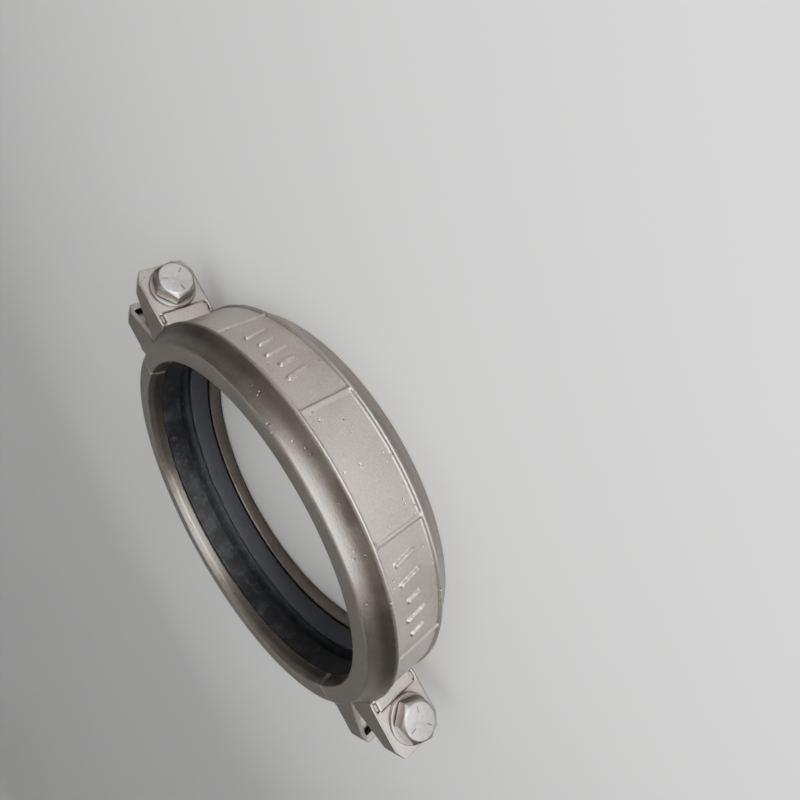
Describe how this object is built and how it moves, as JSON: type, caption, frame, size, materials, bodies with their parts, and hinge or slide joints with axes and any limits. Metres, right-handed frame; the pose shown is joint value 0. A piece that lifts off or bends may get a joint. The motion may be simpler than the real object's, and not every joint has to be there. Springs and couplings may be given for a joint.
{
  "type": "grooved pipe coupling",
  "caption": "Cast stainless grooved pipe coupling: bolted housing halves around a C-section rubber gasket, with nuts that back off so that the halves open.",
  "frame": {"origin": "centre of the coupling: on the pipe's axis, halfway between the two side faces and on the split plane", "axes": "+Z along the pipe, X through both bolts, +Y towards the bolt heads"},
  "size_m": [0.3278, 0.2568, 0.0576],
  "materials": {
    "cast_stainless": "blasted casting, satin, with machined side faces",
    "bright_stainless": "bright cold-forged fasteners",
    "black_rubber": "moulded, matt, lightly scuffed on the sealing lips"
  },
  "bodies": {
    "housing": {"housing_head_side": "cast_stainless", "head_washer_1": "bright_stainless", "head_washer_2": "bright_stainless"},
    "gasket": {"gasket_ring": "black_rubber"},
    "nut_half": {"housing_nut_side": "cast_stainless"},
    "bolt_1": {"hex_bolt_1": "bright_stainless"},
    "washer_1": {"nut_washer_1": "bright_stainless"},
    "nut_1": {"hex_nut_1": "bright_stainless"},
    "bolt_2": {"hex_bolt_2": "bright_stainless"},
    "washer_2": {"nut_washer_2": "bright_stainless"},
    "nut_2": {"hex_nut_2": "bright_stainless"}
  },
  "joints": [
    {"name": "swing_open_1", "type": "hinge", "parent": "housing", "child": "gasket", "pos_m": [0.1335, -0.028, 0], "axis": [0, 0, 1], "range_deg": [0, 1.91]},
    {"name": "swing_open_2", "type": "hinge", "parent": "gasket", "child": "nut_half", "pos_m": [-0.1335, -0.028, 0], "axis": [0, 0, -1], "range_deg": [0, 1.91]},
    {"name": "bolt_1_spin", "type": "hinge", "parent": "housing", "child": "bolt_1", "pos_m": [-0.1475, 0.03, 0], "axis": [0, 1, 0], "continuous": true},
    {"name": "nut_1_travel", "type": "slide", "parent": "bolt_1", "child": "washer_1", "axis": [0, -1, 0], "range_m": [0, 0.01]},
    {"name": "nut_1_spin", "type": "hinge", "parent": "washer_1", "child": "nut_1", "pos_m": [-0.1475, -0.036, 0], "axis": [0, -1, 0], "range_deg": [0, 1800]},
    {"name": "bolt_2_spin", "type": "hinge", "parent": "housing", "child": "bolt_2", "pos_m": [0.1475, 0.03, 0], "axis": [0, 1, 0], "continuous": true},
    {"name": "nut_2_travel", "type": "slide", "parent": "bolt_2", "child": "washer_2", "axis": [0, -1, 0], "range_m": [0, 0.01]},
    {"name": "nut_2_spin", "type": "hinge", "parent": "washer_2", "child": "nut_2", "pos_m": [0.1475, -0.036, 0], "axis": [0, -1, 0], "range_deg": [0, 1800]}
  ],
  "couplings": [
    {"joint": "nut_1_spin", "follows": "nut_1_travel", "rad_per_m": 3141.6},
    {"joint": "swing_open_1", "follows": "nut_1_travel", "rad_per_m": 3.3333},
    {"joint": "nut_2_spin", "follows": "nut_2_travel", "rad_per_m": 3141.6},
    {"joint": "swing_open_2", "follows": "nut_2_travel", "rad_per_m": 3.3333}
  ]
}
